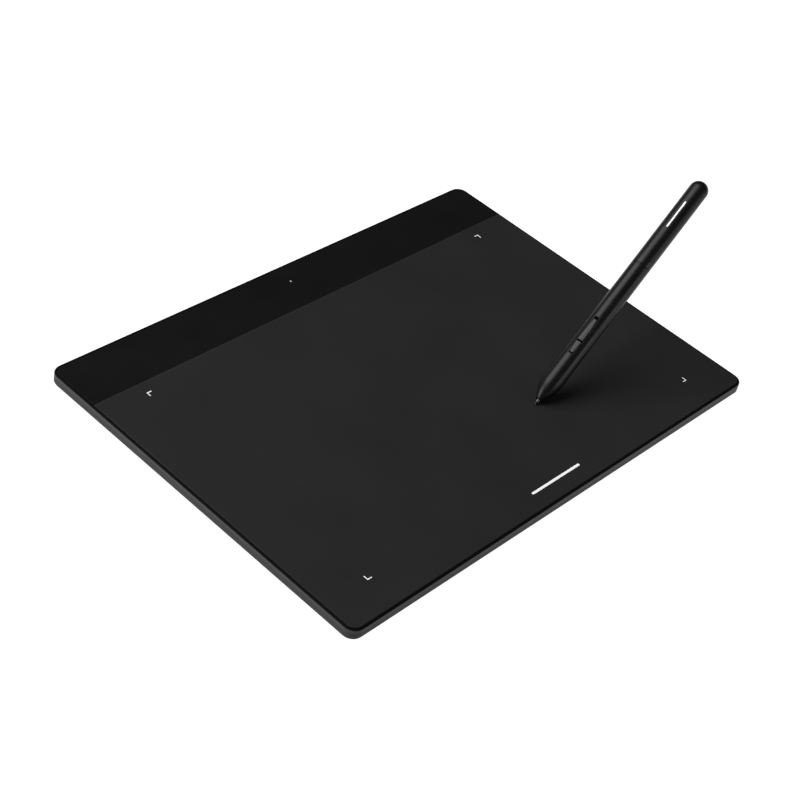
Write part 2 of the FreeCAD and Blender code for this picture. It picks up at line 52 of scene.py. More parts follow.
COVER_LOW, COVER_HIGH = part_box("top_cover")
CENTRE = Vector(((COVER_LOW.x + COVER_HIGH.x) / 2, (COVER_LOW.y + COVER_HIGH.y) / 2, 0))
MIDDLE = CENTRE / MM
WIDTH = (COVER_HIGH.x - COVER_LOW.x) / MM
DEPTH = (COVER_HIGH.y - COVER_LOW.y) / MM
RIM_Z = COVER_HIGH.z / MM
SPLIT_Z = COVER_LOW.z / MM
FILM_LOW, FILM_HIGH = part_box("drawing_film")
FILM_TOP_Z = FILM_HIGH.z / MM
FILM_LOW_Z = FILM_LOW.z / MM
FILM_BEVEL = 0.12
FILM_CORNER_R = 0.8
CORNER_R = 6.5
EDGE_ROUND = 1.1
LOWER_ROUND = 0.3
WALL = 1.8
RIM_WIDTH = 1.45
DECK_TOP_Z = 7.4
DECK_LOW_Z = 6.0

# ---- what is printed on the surfaces
ACTIVE_HALF = Vector((127.3, 79.65))
ACTIVE_MIDDLE = Vector((0.15, -10.7))
MARK_ARM = 2.95
MARK_STROKE = 0.56
BAR_PLACE = Vector((2.25, -98.6))
BAR_SIZE = (38.0, 1.5)
PRINT_RAISE = 0.012
PRINT_SINK = 0.002
LABEL_HALF = Vector((32.0, 17.0))
LABEL_LINE = 0.3
LABEL_FIELDS_Y = (-6.0, 7.0)
LABEL_SPLIT_X = 4.0

# ---- the pen, in millimetres along its own axis from the nib's point
NOSE_Z = 3.3
NOSE_R = 1.8
NOSE_ROUND = 0.25
GRIP_Z = 17.0
GRIP_R = 5.9
WAIST = ((28.0, 5.76, -0.0086), (58.0, 5.62, -0.0042))
SEAM_Z = 96.6
SEAM_GAP = 0.1
SEAM_R = 5.5
PEN_LENGTH = 156.8
BORE_R = 4.3
NOSE_BORE_R = 1.2
NOSE_BORE_Z = 8.0
TAPER_R = 2.2
TAPER_LENGTH = 8.0
LIP = 0.12
LIP_STEPS = [0, 0.01, 0.03, 0.07, LIP]
LIP_RUNOUT = 0.25
SLOT_Z = (33.0, 56.5)
POCKET_BACK_Z = 57.9
POCKET_X = 4.6
FRONT_BUTTON = (33.7, 41.0)
REAR_BUTTON = (41.95, 56.05)
KEY_HALF = 1.52
KEY_BOW_R = 125.0
KEY_MIDDLE_Z = 44.2
KEY_GAP = 0.38
BUTTON_TOP_R = 5.84
BUTTON_CORNER_R = 0.35
BUTTON_EDGE = 0.16
BUTTON_SINK = 0.05
FLANGE_X = (3.15, 3.5)
FLANGE_REACH = 0.18
PEN_BAR_Z = (122.0, 140.0)
PEN_BAR_WIDTH = 0.9


# ---------------------------------------------------------------- camera

def make_camera():
    """Long lens off the front left corner, looking down on the tablet and rolled to one side."""
    target = CENTRE + Vector((-21.35, -9.51, RIM_Z)) * MM
    distance = 0.9289
    azimuth, elevation, roll = math.radians(-54.71), math.radians(39.58), math.radians(13.43)
    back = Vector((
        math.sin(azimuth) * math.cos(elevation),
        -math.cos(azimuth) * math.cos(elevation),
        math.sin(elevation),
    ))
    data = bpy.data.cameras.new("camera")
    data.lens = 80.08
    data.sensor_width = 36.0
    data.clip_start = 0.05
    data.clip_end = 50.0
    camera = bpy.data.objects.new("camera", data)
    bpy.context.scene.collection.objects.link(camera)
    camera.location = target + back * distance
    upright = (-back).to_track_quat("-Z", "Y").to_matrix()
    camera.rotation_euler = (upright @ Matrix.Rotation(roll, 3, "Z")).to_euler()
    bpy.context.scene.camera = camera


make_camera()


# ---------------------------------------------------------------- node helpers

def material(name):
    """New material with one Principled shader wired to its output."""
    mat = bpy.data.materials.new(name)
    mat.use_nodes = True
    tree = mat.node_tree
    tree.nodes.clear()
    output = tree.nodes.new("ShaderNodeOutputMaterial")
    shader = tree.nodes.new("ShaderNodeBsdfPrincipled")
    tree.links.new(shader.outputs[0], output.inputs[0])
    return mat, tree, shader


def add(tree, kind, inputs=None, **settings):
    """New node with its settings and inputs; an input is a value or another node's socket."""
    node = tree.nodes.new(kind)
    for key, value in settings.items():
        setattr(node, key, value)
    for key, value in (inputs or {}).items():
        if isinstance(value, bpy.types.NodeSocket):
            tree.links.new(value, node.inputs[key])
        else:
            node.inputs[key].default_value = value
    return node


def noise(tree, size_mm, detail=2.0, rough=0.5, stretch=(1, 1, 1)):
    """Noise whose features are about size_mm across, from 0 to 1."""
    coord = add(tree, "ShaderNodeTexCoord")
    scale = [s / (size_mm * MM) for s in stretch]
    spread = add(tree, "ShaderNodeMapping", {"Vector": coord.outputs["Object"], "Scale": scale})
    inputs = {"Vector": spread.outputs[0], "Scale": 1.0, "Detail": detail, "Roughness": rough}
    return add(tree, "ShaderNodeTexNoise", inputs).outputs[0]


def cells(tree, size_mm):
    """Distance to the nearest of scattered points about size_mm apart."""
    coord = add(tree, "ShaderNodeTexCoord")
    inputs = {"Vector": coord.outputs["Object"], "Scale": 1 / (size_mm * MM)}
    return add(tree, "ShaderNodeTexVoronoi", inputs).outputs["Distance"]


def remap(tree, value, low, high, low_in=0.3, high_in=0.7):
    """Stretches a noise value to the range from low to high."""
    inputs = {"Value": value, "From Min": low_in, "From Max": high_in, "To Min": low, "To Max": high}
    return add(tree, "ShaderNodeMapRange", inputs).outputs[0]


def mix(tree, factor, first, second):
    node = add(tree, "ShaderNodeMix", data_type="RGBA")
    for socket, value in ((node.inputs[0], factor), (node.inputs[6], first), (node.inputs[7], second)):
        if isinstance(value, bpy.types.NodeSocket):
            tree.links.new(value, socket)
        else:
            socket.default_value = value
    return node.outputs[2]


def maths(tree, operation, first, second):
    return add(tree, "ShaderNodeMath", {0: first, 1: second}, operation=operation).outputs[0]


def bump(tree, shader, height, distance_mm):
    inputs = {"Height": height, "Distance": distance_mm * MM, "Strength": 1.0}
    node = add(tree, "ShaderNodeBump", inputs)
    tree.links.new(node.outputs[0], shader.inputs["Normal"])


def attribute(tree, name):
    """Vertex attribute of the made meshes: edge is 1 where it is worn and where a highlight is painted, tone
    is 0 where shade is painted.
    """
    return add(tree, "ShaderNodeAttribute", attribute_name=name).outputs["Fac"]


def grey(level):
    return (level, level, level * 1.02, 1.0)


# ---------------------------------------------------------------- materials

def plastic(name, base, spread, roughness, grain_mm, grain_depth, specular=0.5, wear_and_sheen=0.0, painted_shade_level=None):
    """Moulded plastic: fine grain in the tool's finish, faint cloudiness, and paler edges, which are real
    wear on the pen's parts and a painted highlight on the case and the header strip.

    Where a mesh's tone attribute is 0 the colour turns near black instead of base: painted shade in gaps and
    at rims.
    """
    mat, tree, shader = material(name)
    cloud = noise(tree, 22.0, detail=3.0)
    fine = noise(tree, grain_mm, detail=3.0, rough=0.6)
    factor = maths(tree, "ADD", remap(tree, cloud, 0, 0.5), remap(tree, fine, 0, 0.5))
    dark = [c * (1 - spread) for c in base[:3]] + [1]
    light = [c * (1 + spread) for c in base[:3]] + [1]
    colour = mix(tree, factor, dark, light)
    # Painted shade: where the tone attribute falls to 0 the colour darkens to this near-black level.
    if painted_shade_level:
        painted_shade_colour = mix(tree, factor, grey(painted_shade_level * (1 - spread)), grey(painted_shade_level * (1 + spread)))
        colour = mix(tree, attribute(tree, "tone"), painted_shade_colour, colour)
    rough = remap(tree, cloud, roughness - 0.03, roughness + 0.03)
    # Paler colour along the edge attribute: real wear on the pen's parts, a painted highlight on the case's
    # wall top and the header strip's seam.
    if wear_and_sheen:
        mask = maths(tree, "MULTIPLY", attribute(tree, "edge"), remap(tree, noise(tree, 6.0), 0.5, 1.0))
        wear_and_sheen_colour = [min(1.0, c * (1 + wear_and_sheen) + 0.002) for c in base[:3]] + [1]
        colour = mix(tree, mask, colour, wear_and_sheen_colour)
        rough = maths(tree, "SUBTRACT", rough, maths(tree, "MULTIPLY", mask, 0.08))
    tree.links.new(colour, shader.inputs["Base Color"])
    tree.links.new(rough, shader.inputs["Roughness"])
    shader.inputs["Specular IOR Level"].default_value = specular
    bump(tree, shader, fine, grain_depth)
    return mat


def paper_film():
    """Matte drawing film: a paper-like tooth of small pits, with faint wear clouds."""
    mat, tree, shader = material("paper_film")
    cloud = noise(tree, 45.0, detail=4.0)
    tooth = noise(tree, 0.28, detail=2.0, rough=0.7)
    pits = cells(tree, 0.35)
    factor = maths(tree, "ADD", remap(tree, cloud, 0, 0.4), remap(tree, tooth, 0, 0.6))
    colour = mix(tree, factor, grey(0.0092), grey(0.0122))
    # Painted highlight: the film turns paler along its seam with the header strip.
    colour = mix(tree, maths(tree, "MULTIPLY", attribute(tree, "edge"), 0.6), colour, grey(0.03))
    tree.links.new(colour, shader.inputs["Base Color"])
    tree.links.new(remap(tree, cloud, 0.56, 0.64), shader.inputs["Roughness"])
    shader.inputs["Specular IOR Level"].default_value = 0.25
    bump(tree, shader, maths(tree, "ADD", tooth, remap(tree, pits, 0.0, 0.6, 0.0, 0.5)), 0.012)
    return mat


def print_white():
    """Screen-printed white ink, a little thin and mottled."""
    mat, tree, shader = material("print_white")
    ink = noise(tree, 0.5, detail=2.0)
    tree.links.new(mix(tree, remap(tree, ink, 0, 1), grey(0.86), grey(0.96)), shader.inputs["Base Color"])
    tree.links.new(remap(tree, ink, 0.5, 0.6), shader.inputs["Roughness"])
    bump(tree, shader, ink, 0.004)
    return mat


def rubber():
    """Dull rubber with a little pale dust on it."""
    mat, tree, shader = material("rubber")
    fine = noise(tree, 0.5, detail=3.0)
    dust = noise(tree, 7.0, detail=4.0)
    base = mix(tree, remap(tree, fine, 0, 1), grey(0.018), grey(0.028))
    dusted = mix(tree, remap(tree, dust, 0, 0.35, 0.5, 0.75), base, (0.09, 0.085, 0.08, 1))
    tree.links.new(dusted, shader.inputs["Base Color"])
    tree.links.new(remap(tree, fine, 0.72, 0.85), shader.inputs["Roughness"])
    bump(tree, shader, fine, 0.03)
    return mat


def metal(name, tint, roughness, stretch=(1, 1, 1)):
    """Rolled or drawn metal with fine lines along one direction and dull patches."""
    mat, tree, shader = material(name)
    lines = noise(tree, 0.25, detail=3.0, stretch=stretch)
    cloud = noise(tree, 4.0, detail=3.0)
    dark = [c * 0.8 for c in tint[:3]] + [1]
    factor = maths(tree, "ADD", remap(tree, lines, 0, 0.5), remap(tree, cloud, 0, 0.5))
    tree.links.new(mix(tree, factor, dark, tint), shader.inputs["Base Color"])
    tree.links.new(remap(tree, cloud, roughness - 0.05, roughness + 0.07), shader.inputs["Roughness"])
    shader.inputs["Metallic"].default_value = 1.0
    bump(tree, shader, lines, 0.005)
    return mat


def circuit_board():
    """Solder mask over rows of fine tracks, which show as a faint relief."""
    mat, tree, shader = material("circuit_board")
    coord = add(tree, "ShaderNodeTexCoord")
    inputs = {"Vector": coord.outputs["Object"], "Scale": 420.0, "Distortion": 0.0}
    tracks = add(tree, "ShaderNodeTexWave", inputs, bands_direction="X").outputs["Fac"]
    cloud = noise(tree, 9.0, detail=3.0)
    mask = mix(tree, remap(tree, cloud, 0, 1), (0.008, 0.075, 0.035, 1), (0.012, 0.10, 0.048, 1))
    colour = mix(tree, remap(tree, tracks, 0, 0.6, 0.55, 0.7), mask, (0.03, 0.17, 0.08, 1))
    tree.links.new(colour, shader.inputs["Base Color"])
    tree.links.new(remap(tree, cloud, 0.3, 0.42), shader.inputs["Roughness"])
    bump(tree, shader, tracks, 0.02)
    return mat


def frosted_light():
    """Frosted end of the light pipe, with a faint mottled haze."""
    mat, tree, shader = material("frosted_light")
    haze = noise(tree, 0.3)
    tree.links.new(mix(tree, remap(tree, haze, 0, 1), grey(0.6), grey(0.72)), shader.inputs["Base Color"])
    tree.links.new(remap(tree, haze, 0.35, 0.5), shader.inputs["Roughness"])
    bump(tree, shader, haze, 0.01)
    return mat


def label_film():
    """Silvered label, brushed one way."""
    mat, tree, shader = material("label_film")
    brush = noise(tree, 0.4, detail=3.0, stretch=(0.05, 1, 1))
    tree.links.new(mix(tree, remap(tree, brush, 0, 1), grey(0.10), grey(0.13)), shader.inputs["Base Color"])
    tree.links.new(remap(tree, brush, 0.35, 0.45), shader.inputs["Roughness"])
    bump(tree, shader, brush, 0.003)
    return mat


MATERIALS = {
    # Case: its paler wall top is a painted highlight, and where its tone is low the colour is painted shade.
    "case": plastic("case_plastic", grey(0.034), 0.12, 0.5, 0.5, 0.010, 0.06, wear_and_sheen=0.5, painted_shade_level=0.003),
    # Near-black, barely reflective plastic for faces painted as shade: the rim rounding, the inner steps, the
    # gaps round the buttons, the pen's pocket floor and bore.
    "rim": plastic("painted_shade_plastic", grey(0.003), 0.3, 0.7, 0.5, 0.010, 0.03),
    "under": plastic("under_plastic", grey(0.006), 0.25, 0.55, 0.7, 0.03, 0.15),
    "film": paper_film(),
    # Header strip: its paler front seam is a painted highlight.
    "header": plastic("header_plastic", grey(0.0028), 0.2, 0.5, 0.4, 0.006, 0.16, wear_and_sheen=0.5),
    "white": print_white(),
    "light": frosted_light(),
    "pen": plastic("pen_plastic", grey(0.0030), 0.25, 0.36, 0.35, 0.004, 0.22, wear_and_sheen=0.4),
    # Buttons: the darker colour towards the cap's edges is painted shade.
    "button": plastic("button_plastic", grey(0.037), 0.2, 0.5, 0.3, 0.02, 0.25, wear_and_sheen=0.3, painted_shade_level=0.003),
    "nib": plastic("nib_plastic", grey(0.006), 0.3, 0.2, 0.3, 0.002, 0.7, wear_and_sheen=0.6),
    "dark_inner": plastic("dark_inner", grey(0.02), 0.3, 0.5, 0.4, 0.01),
    "pale_inner": plastic("pale_inner", grey(0.55), 0.1, 0.45, 0.6, 0.01),
    "rubber": rubber(),
    "steel": metal("drawn_steel", grey(0.62), 0.28, (1, 0.1, 1)),
    "screw": metal("screw_steel", grey(0.4), 0.35),
    "gold": metal("contact_gold", (0.85, 0.60, 0.26, 1), 0.25, (1, 0.1, 1)),
    "copper": metal("coil_copper", (0.62, 0.27, 0.12, 1), 0.3, (0.1, 1, 1)),
    "board": circuit_board(),
    "label": label_film(),
}

NODE_MATERIALS = {
    "case": ["top_cover"],
    "under": ["bottom_cover"],
    "film": ["drawing_film"],
    "header": ["header_strip"],
    "light": ["light_pipe", "status_led"],
    "pen": ["front_barrel", "rear_barrel"],
    "button": ["front_button", "rear_button"],
    "nib": ["nib"],
    "dark_inner": ["film_tape", "controller_chip", "support_chips", "pen_components", "usb_c_insulator",
                   "ferrite_core", "pressure_sensor"],
    "pale_inner": ["board_tape", "flex_connector", "nib_holder", "chassis",
                   "coupling_sleeve", "return_pad", "front_plunger", "rear_plunger"],
    "rubber": ["foot_front_left", "foot_front_right", "foot_back_left", "foot_back_right"],
    "steel": ["shield_sheet", "shield_can", "usb_c_shell", "front_switch", "rear_switch"],
    "screw": ["case_screws"],
    "gold": ["usb_c_contacts"],
    "copper": ["coil", "flex_cable"],
    "board": ["sensor_board", "controller_board", "pen_board"],
    "label": ["rating_label"],
}
for key, names in NODE_MATERIALS.items():
    for name in names:
        NODES[name].data.materials.clear()
        NODES[name].data.materials.append(MATERIALS[key])


# ---------------------------------------------------------------- mesh helpers

# Faces whose points all have a lower tone than this are painted as shade.
DARK_TONE = 0.25


def linked(name, data):
    """New object of that name in the scene."""
    item = bpy.data.objects.new(name, data)
    bpy.context.scene.collection.objects.link(item)
    return item


def solid_mesh(name, points, faces):
    """Mesh from points in millimetres, with its faces turned outwards."""
    mesh = bpy.data.meshes.new(name)
    mesh.from_pydata([Vector(p) * MM for p in points], [], faces)
    mesh.validate()
    builder = bmesh.new()
    builder.from_mesh(mesh)
    bmesh.ops.recalc_face_normals(builder, faces=builder.faces)
    builder.to_mesh(mesh)
    builder.free()
    return mesh


def make_piece(name, points, faces, look, body, replaces=(), edge=None, tone=None, sharp=35):
    """Object from points in millimetres, with each point's wear and sheen and its tone; faces painted as
    shade, where all tones are low, get the near-black shade plastic.
    """
    mesh = solid_mesh(name, points, faces)
    for key, values in (("edge", edge), ("tone", tone)):
        if values:
            layer = mesh.attributes.new(key, "FLOAT", "POINT")
            for item, value in zip(layer.data, values):
                item.value = value
    piece = linked(name, mesh)
    mesh.materials.append(MATERIALS[look])
    # Faces with a low tone are painted shade and take the near-black shade plastic.
    if tone:
        mesh.materials.append(MATERIALS["rim"])
        for face in mesh.polygons:
            if max(tone[number] for number in face.vertices) < DARK_TONE:
                face.material_index = 1
    mesh.shade_smooth()
    bpy.context.view_layer.objects.active = piece
    mesh.set_sharp_from_angle(angle=math.radians(sharp))
    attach(piece, body)
    if replaces:
        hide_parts(*replaces)
    return piece


def bridge(first, second, closed=True):
    """Quads between two equal runs of point numbers."""
    count = len(first)
    last = count if closed else count - 1
    return [(first[i], first[(i + 1) % count], second[(i + 1) % count], second[i]) for i in range(last)]


def rounded_rect(width, depth, radii, steps=14, centre=(0.0, 0.0)):
    """Outline with its corner radii in the order front left, front right, back right, back left."""
    half_w, half_d = width / 2, depth / 2
    corners = [(-1, -1, 180), (1, -1, 270), (1, 1, 0), (-1, 1, 90)]
    points = []
    for (side_x, side_y, start), radius in zip(corners, radii):
        radius = max(radius, 0.02)
        mid_x = side_x * (half_w - radius) + centre[0]
        mid_y = side_y * (half_d - radius) + centre[1]
        for step in range(steps + 1):
            angle = math.radians(start + 90 * step / steps)
            points.append((mid_x + radius * math.cos(angle), mid_y + radius * math.sin(angle)))
    return points


def lofted(sections):
    """Closed mesh through stacked outlines of (x, y, z) points, capped at both ends."""
    points, rings = [], []
    for section in sections:
        rings.append(range(len(points), len(points) + len(section)))
        points.extend(section)
    faces = [face for low, high in zip(rings, rings[1:]) for face in bridge(low, high)]
    faces.append(tuple(reversed(rings[0])))
    faces.append(tuple(rings[-1]))
    return points, faces


def quarter(steps, start=0.0, end=90.0):
    """Angles of an arc in radians, ends included."""
    return [math.radians(start + (end - start) * step / steps) for step in range(steps + 1)]


# ---------------------------------------------------------------- tablet

def cover_profile():
    """Wall section of the top cover as (inset, height, wear and sheen, tone), from the deck over the rim; it
    carries a painted highlight at the wall's top and painted shade at the rim.
    """
    # The step down to the deck and the rim's inner lip are painted as shade, with tone near 0.
    profile = [(RIM_WIDTH, DECK_TOP_Z, 0, 0)]
    profile += [(RIM_WIDTH - LIP + LIP * math.cos(a), RIM_Z - 0.02 - LIP + LIP * math.sin(a), 0, 0.1)
                for a in quarter(3)]
    for angle in quarter(12):
        turn = math.degrees(angle)
        inset = EDGE_ROUND * (1 - math.sin(angle))
        height = RIM_Z - EDGE_ROUND * (1 - math.cos(angle))
        # Painted highlight: a paler band at the lower end of the rim rounding.
        wear_and_sheen = math.exp(-((turn - 88) / 10) ** 2)
        # The top of the rim rounding, up to about 58 degrees of turn, is painted as shade; below that the
        # tone ramps up to the case colour.
        tone = min(1.0, max(0.0, (turn - 58) / 22)) if turn else 0.1
        profile.append((inset, height, wear_and_sheen, tone))
    # The paler values high on the wall continue the painted highlight.
    profile += [(0.0, 6.2, 0.8, 1), (0.0, 5.3, 0.1, 1), (0.0, 4.4, 0, 1)]
    # The lower rounding darkens as it turns towards the floor: painted shade under the tablet's edge.
    profile += [(LOWER_ROUND * (1 - math.cos(a)), SPLIT_Z + LOWER_ROUND * (1 - math.sin(a)), 0,
                 1 - 0.8 * math.sin(a)) for a in quarter(8)]
    # The inside of the wall is painted as shade.
    profile.append((WALL, SPLIT_Z, 0, 0))
    profile.append((WALL, DECK_LOW_Z, 0, 0))
    return profile


def top_cover():
    """Rim and walls in one closed shell, with the port cut through the back wall."""
    sections, wear_and_sheen, tone = [], [], []
    for inset, height, level, shade in cover_profile():
        ring = rounded_rect(WIDTH - 2 * inset, DEPTH - 2 * inset, [CORNER_R - inset] * 4)
        sections.append([(x + MIDDLE.x, y + MIDDLE.y, height) for x, y in ring])
        wear_and_sheen += [level] * len(ring)
        tone += [shade] * len(ring)
    points, faces = lofted(sections)
    cover = make_piece("top_cover_shell", points, faces, "case", "tablet",
                       ["top_cover"], wear_and_sheen, tone)
    cut_port(cover)


def stadium(width, height, y, z, steps=10):
    """Outline with half-round ends in the XZ plane at y."""
    radius = height / 2
    reach = width / 2 - radius
    points = []
    for side, start in ((1, -90), (-1, 90)):
        for step in range(steps + 1):
            angle = math.radians(start + 180 * step / steps)
            x = side * reach + radius * math.cos(angle)
            points.append((x + MIDDLE.x, y, z + radius * math.sin(angle)))
    return points


def cut_port(cover):
    """Opens the back wall for the receptacle, with a softened mouth."""
    low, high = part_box("usb_c_shell")
    height = (low.z + high.z) / 2 / MM
    back = DEPTH / 2
    sections = [
        stadium(9.5, 3.8, back - 4.0, height),
        stadium(9.5, 3.8, back - 0.25, height),
        stadium(9.6, 3.9, back - 0.12, height),
        stadium(9.9, 4.2, back + 0.02, height),
        stadium(9.9, 4.2, back + 2.0, height),
    ]
    points, faces = lofted(sections)
    cutter = linked("port_cutter", solid_mesh("port_cutter", points, faces))
    cut = cover.modifiers.new("port", "BOOLEAN")
    cut.operation = "DIFFERENCE"
    cut.solver = "EXACT"
    cut.object = cutter
    apply_modifiers(cover)
    bpy.data.objects.remove(cutter)
    cover.data.set_sharp_from_angle(angle=math.radians(35))


def apply_modifiers(piece):
    """Makes the mesh what its modifiers show."""
    evaluated = piece.evaluated_get(bpy.context.evaluated_depsgraph_get())
    mesh = bpy.data.meshes.new_from_object(evaluated)
    piece.modifiers.clear()
    piece.data = mesh


def thin_plate(name, node, radii, drop, look, front_seam):
    """Sheet over a CAD node, drop lower than the film, with a rolled top edge and a paler painted highlight
    along its seam.
    """
    low, high = [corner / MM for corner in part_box(node)]
    width, depth = high.x - low.x, high.y - low.y
    centre = ((low.x + high.x) / 2, (low.y + high.y) / 2)
    seam_y = low.y if front_seam else high.y
    top = FILM_TOP_Z - drop
    stations = [(0.02, FILM_LOW_Z, 0), (0, FILM_LOW_Z + 0.02, 0)]
    # The paler values on the rolled edge and the strip beside it paint a highlight along the seam.
    for angle in quarter(5):
        inset = FILM_BEVEL * (1 - math.cos(angle))
        height = top - FILM_BEVEL * (1 - math.sin(angle))
        stations.append((inset, height, math.sin(angle) * 0.8))
    stations += [(FILM_BEVEL + step, top, level) for step, level in ((0.05, 0.6), (0.4, 0.5), (0.7, 0))]
    sections, wear_and_sheen = [], []
    for inset, height, level in stations:
        outline = rounded_rect(width - 2 * inset, depth - 2 * inset, [r - inset for r in radii], 10, centre)
        sections.append([(x, y, height) for x, y in outline])
        # Only the seam side gets the painted highlight.
        wear_and_sheen += [level if abs(y - seam_y) < 1.0 else 0.0 for x, y in outline]
    points, faces = lofted(sections)
    make_piece(name, points, faces, look, "tablet", [node], wear_and_sheen)


def surfaces():
    """The drawing film and the header strip, let into the deck side by side."""
    outer, inner = CORNER_R - RIM_WIDTH, FILM_CORNER_R
    thin_plate("drawing_film_sheet", "drawing_film", [outer, outer, inner, inner], 0.0,
               "film", False)
    thin_plate("header_panel", "header_strip", [inner, inner, outer, outer], 0.02,
               "header", True)


def flat_print(name, outline, z):
    """Patch of ink on the film, a hundredth of a millimetre high."""
    points, faces = lofted([[(x + MIDDLE.x, y, z + lift) for x, y in outline]
                            for lift in (-PRINT_SINK, PRINT_RAISE)])
    make_piece(name, points, faces, "white", "tablet")


def corner_marks():
    """Four angle marks with their corners at the corners of the active area."""
    names = {(-1, -1): "front_left", (1, -1): "front_right", (1, 1): "back_right", (-1, 1): "back_left"}
    for (side_x, side_y), name in names.items():
        x = ACTIVE_MIDDLE.x + side_x * ACTIVE_HALF.x
        y = ACTIVE_MIDDLE.y + side_y * ACTIVE_HALF.y
        arm, stroke = MARK_ARM, MARK_STROKE
        steps = [(0, 0), (arm, 0), (arm, stroke), (stroke, stroke), (stroke, arm), (0, arm)]
        outline = [(x - side_x * a, y - side_y * b) for a, b in steps]
        flat_print("corner_mark_" + name, outline, FILM_TOP_Z)


def surface_bar():
    """Plain printed bar low on the drawing surface."""
    outline = rounded_rect(BAR_SIZE[0], BAR_SIZE[1], [BAR_SIZE[1] / 2] * 4, 8, BAR_PLACE)
    flat_print("surface_bar", outline, FILM_TOP_Z)


def label_print():
    """Frame line and empty fields on the underside label, with no words in them."""
    low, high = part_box("rating_label")
    middle = (low + high) / 2 / MM
    x, y = LABEL_HALF
    lower, upper = LABEL_FIELDS_Y
    bars = {
        "front": (-x, -y, x, LABEL_LINE - y),
        "back": (-x, y - LABEL_LINE, x, y),
        "left": (-x, -y, LABEL_LINE - x, y),
        "right": (x - LABEL_LINE, -y, x, y),
        "upper": (-x, upper, x, upper + LABEL_LINE),
        "lower": (-x, lower, x, lower + LABEL_LINE),
        "middle": (LABEL_SPLIT_X, -y, LABEL_SPLIT_X + LABEL_LINE, upper),
    }
    for name, (x0, y0, x1, y1) in bars.items():
        outline = [(x0, y0), (x1, y0), (x1, y1), (x0, y1)]
        sections = [[(x + middle.x, y + middle.y, low.z / MM + lift) for x, y in outline]
                    for lift in (-PRINT_RAISE, PRINT_SINK)]
        points, faces = lofted(sections)
        make_piece("label_line_" + name, points, faces, "white", "tablet")


def status_lens():
    """Low dome over the light pipe's end."""
    low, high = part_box("light_pipe")
    middle = (low + high) / 2 / MM
    ring = [math.radians(15 * step) for step in range(24)]
    sections = []
    for radius, rise in ((0.54, -0.4), (0.54, -0.05), (0.5, 0), (0.38, 0.03), (0.2, 0.045)):
        sections.append([(middle.x + radius * math.cos(a), middle.y + radius * math.sin(a), FILM_TOP_Z + rise)
                         for a in ring])
    points, faces = lofted(sections)
    make_piece("status_lens", points, faces, "light", "tablet", ["light_pipe"])


top_cover()
surfaces()
corner_marks()
surface_bar()
label_print()
status_lens()


# ---------------------------------------------------------------- pen

PEN_AXIS = Vector(JOINTS["nib_press"]["axis"]).normalized()
PEN_TOP = -Vector(JOINTS["front_button_press"]["axis"]).normalized()
PEN_SIDE = PEN_AXIS.cross(PEN_TOP).normalized()
PEN_TIP = min((v.co for v in NODES["nib"].data.vertices), key=lambda co: co.dot(PEN_AXIS)).copy() / MM


def placed(x, y, z):
    """Point of the pen's own frame (towards the buttons, sideways, along) among the tablet's."""
    return PEN_TIP + PEN_TOP * x + PEN_SIDE * y + PEN_AXIS * z


def barrel_radius(z):
    """Outer radius: an ogive nose, then a long waist that runs out parallel behind the seam."""
    if z <= GRIP_Z:
        rise, step = GRIP_Z - NOSE_Z, GRIP_R - NOSE_R
        curve = (rise * rise + step * step) / (2 * step)
        return GRIP_R - curve + math.sqrt(max(curve * curve - (GRIP_Z - z) ** 2, 0))
    stations = [(GRIP_Z, GRIP_R, 0.0), *WAIST, (SEAM_Z, SEAM_R, 0.0)]
    for (z0, r0, m0), (z1, r1, m1) in zip(stations, stations[1:]):
        if z <= z1:
            span = z1 - z0
            t = (z - z0) / span
            return ((2 * t ** 3 - 3 * t ** 2 + 1) * r0 + (t ** 3 - 2 * t ** 2 + t) * span * m0
                    + (3 * t ** 2 - 2 * t ** 3) * r1 + (t ** 3 - t ** 2) * span * m1)
    return SEAM_R


def lip_drop(distance, radius=LIP):
    """How far a rounded edge falls away at that distance from the edge."""
    if distance >= radius:
        return 0.0
    return radius - math.sqrt(max(radius ** 2 - (radius - distance) ** 2, 0))


def key_half(z, gap=0.0):
    """Half width of the buttons at z: their long sides bow outwards in one long arc."""
    z = min(max(z, SLOT_Z[0]), SLOT_Z[1])
    return KEY_HALF + gap - KEY_BOW_R + math.sqrt(KEY_BOW_R ** 2 - (z - KEY_MIDDLE_Z) ** 2)


def front_rows():
    """Stations along the front barrel, crowded at its ends, the slot's ends and the pocket's end."""
    nose_end = NOSE_Z + NOSE_ROUND
    rows = {NOSE_Z + NOSE_ROUND * (1 - math.cos(a)) for a in quarter(4)}
    rows |= {nose_end + (GRIP_Z - nose_end) * step / 30 for step in range(31)}
    rows |= {GRIP_Z + (SLOT_Z[0] - LIP - GRIP_Z) * step / 12 for step in range(12)}
    rows |= {SLOT_Z[0] + (SLOT_Z[1] - SLOT_Z[0]) * step / 24 for step in range(25)}
    rows |= {SLOT_Z[0] - step for step in LIP_STEPS}
    rows |= {SLOT_Z[1] + step for step in (0.01, 0.4, 0.8, 1.2)}
    rows |= {POCKET_BACK_Z + step for step in [-0.01] + LIP_STEPS}
    end = SEAM_Z - SEAM_GAP
    rows |= {POCKET_BACK_Z + 1 + (end - POCKET_BACK_Z - 1) * step / 18 for step in range(18)}
    rows |= {end - step for step in LIP_STEPS}
    return sorted(rows)


def columns():
    """Rules for the columns round the barrel: inside the slot, over its lip, or the rest of the turn."""
    rules = [("inside", share) for share in (0, 0.25, 0.5, 0.75, 0.9, 0.999)]
    rules += [("lip", step) for step in LIP_STEPS + [LIP + LIP_RUNOUT]]
    rules += [("turn", step / 44) for step in range(1, 45)]
    mirrored = [(kind, value, -1) for kind, value in reversed(rules[1:-1])]
    return [(kind, value, 1) for kind, value in rules] + mirrored


